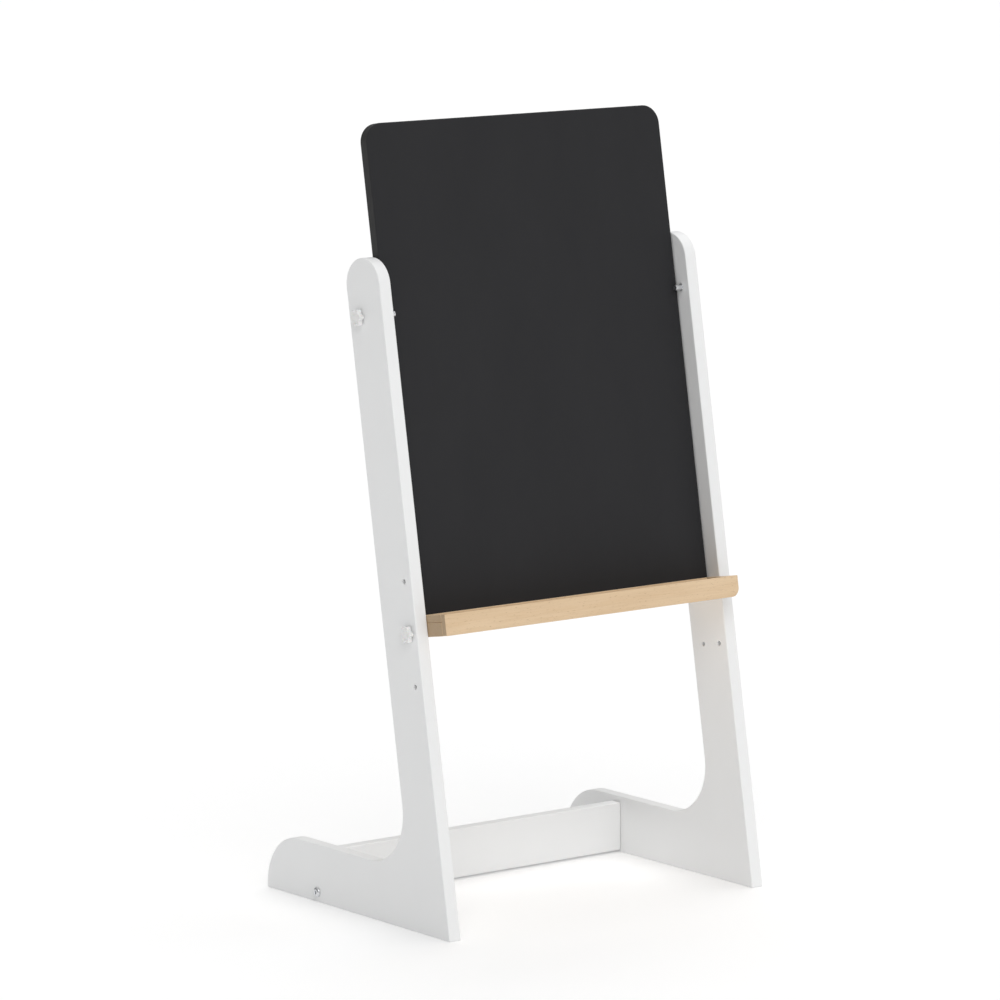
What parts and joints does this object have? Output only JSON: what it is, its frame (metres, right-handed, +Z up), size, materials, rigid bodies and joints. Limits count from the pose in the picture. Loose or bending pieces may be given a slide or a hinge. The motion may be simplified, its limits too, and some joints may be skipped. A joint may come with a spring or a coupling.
{
  "type": "kids easel",
  "caption": "Children's standing easel: two L-shaped side panels, a lift-out chalkboard leaning back between them, and a wooden tray bolted in front.",
  "frame": {"origin": "on the floor, in the middle of the footprint: half-way between the side panels and half-way along the feet", "axes": "+Z up, -Y towards the child standing at the chalkboard, +X to the right as seen from the front"},
  "size_m": [0.5362, 0.4, 1.0243],
  "materials": {
    "white_paint": "white satin paint on fibreboard",
    "beech": "clear satin lacquer on beech",
    "chalkboard": "matt black chalkboard coating",
    "fibreboard": "black-stained fibreboard edge",
    "whiteboard": "glossy white writing laminate",
    "white_plastic": "white moulded nylon",
    "steel": "zinc-plated steel",
    "brass": "plain brass thread insert"
  },
  "bodies": {
    "frame": {"side_panel_left": "white_paint", "rail_bolt_left": "steel", "rail_barrel_nut_left": "steel", "rail_dowel_left": "beech", "bar_insert_left": "brass", "board_pin_left": "steel", "tray_end_strip_left": "beech", "tray_insert_left": "brass", "tray_dowel_left": "steel", "side_panel_right": "white_paint", "rail_bolt_right": "steel", "rail_barrel_nut_right": "steel", "rail_dowel_right": "beech", "bar_insert_right": "brass", "board_pin_right": "steel", "tray_end_strip_right": "beech", "tray_insert_right": "brass", "tray_dowel_right": "steel", "rear_bottom_rail": "white_paint", "rear_cross_bar": "white_paint", "tray_base": "beech", "tray_front_lip": "beech", "tray_board_stop": "beech", "tray_rear_stop": "beech"},
    "board": {"chalkboard_face": "chalkboard", "board_core": "fibreboard", "whiteboard_face": "whiteboard"},
    "bar_washer_left": {"bar_knob_washer_left": "white_plastic"},
    "bar_knob_left": {"bar_knob_left": "white_plastic", "bar_knob_stud_left": "steel"},
    "bar_washer_right": {"bar_knob_washer_right": "white_plastic"},
    "bar_knob_right": {"bar_knob_right": "white_plastic", "bar_knob_stud_right": "steel"},
    "tray_washer_left": {"tray_knob_washer_left": "white_plastic"},
    "tray_knob_left": {"tray_knob_left": "white_plastic", "tray_knob_stud_left": "steel"},
    "tray_washer_right": {"tray_knob_washer_right": "white_plastic"},
    "tray_knob_right": {"tray_knob_right": "white_plastic", "tray_knob_stud_right": "steel"}
  },
  "joints": [
    {"name": "board_lift", "type": "slide", "parent": "frame", "child": "board", "axis": [0, 0.1736, 0.9848], "range_m": [0, 0.47]},
    {"name": "bar_knob_travel_left", "type": "slide", "parent": "frame", "child": "bar_washer_left", "axis": [-1, 0, 0], "range_m": [0, 0.015]},
    {"name": "bar_knob_turn_left", "type": "hinge", "parent": "bar_washer_left", "child": "bar_knob_left", "pos_m": [-0.264, -0.01253, 0.77929], "axis": [-1, 0, 0], "range_deg": [0, 5400]},
    {"name": "bar_knob_travel_right", "type": "slide", "parent": "frame", "child": "bar_washer_right", "axis": [1, 0, 0], "range_m": [0, 0.015]},
    {"name": "bar_knob_turn_right", "type": "hinge", "parent": "bar_washer_right", "child": "bar_knob_right", "pos_m": [0.264, -0.01253, 0.77929], "axis": [1, 0, 0], "range_deg": [0, 5400]},
    {"name": "tray_knob_travel_left", "type": "slide", "parent": "frame", "child": "tray_washer_left", "axis": [-1, 0, 0], "range_m": [0, 0.015]},
    {"name": "tray_knob_turn_left", "type": "hinge", "parent": "tray_washer_left", "child": "tray_knob_left", "pos_m": [-0.264, -0.11591, 0.38474], "axis": [-1, 0, 0], "range_deg": [0, 5400]},
    {"name": "tray_knob_travel_right", "type": "slide", "parent": "frame", "child": "tray_washer_right", "axis": [1, 0, 0], "range_m": [0, 0.015]},
    {"name": "tray_knob_turn_right", "type": "hinge", "parent": "tray_washer_right", "child": "tray_knob_right", "pos_m": [0.264, -0.11591, 0.38474], "axis": [1, 0, 0], "range_deg": [0, 5400]}
  ],
  "couplings": [
    {"joint": "bar_knob_travel_left", "follows": "bar_knob_turn_left", "m_per_rad": 0.00015915},
    {"joint": "bar_knob_travel_right", "follows": "bar_knob_turn_right", "m_per_rad": 0.00015915},
    {"joint": "tray_knob_travel_left", "follows": "tray_knob_turn_left", "m_per_rad": 0.00015915},
    {"joint": "tray_knob_travel_right", "follows": "tray_knob_turn_right", "m_per_rad": 0.00015915}
  ]
}
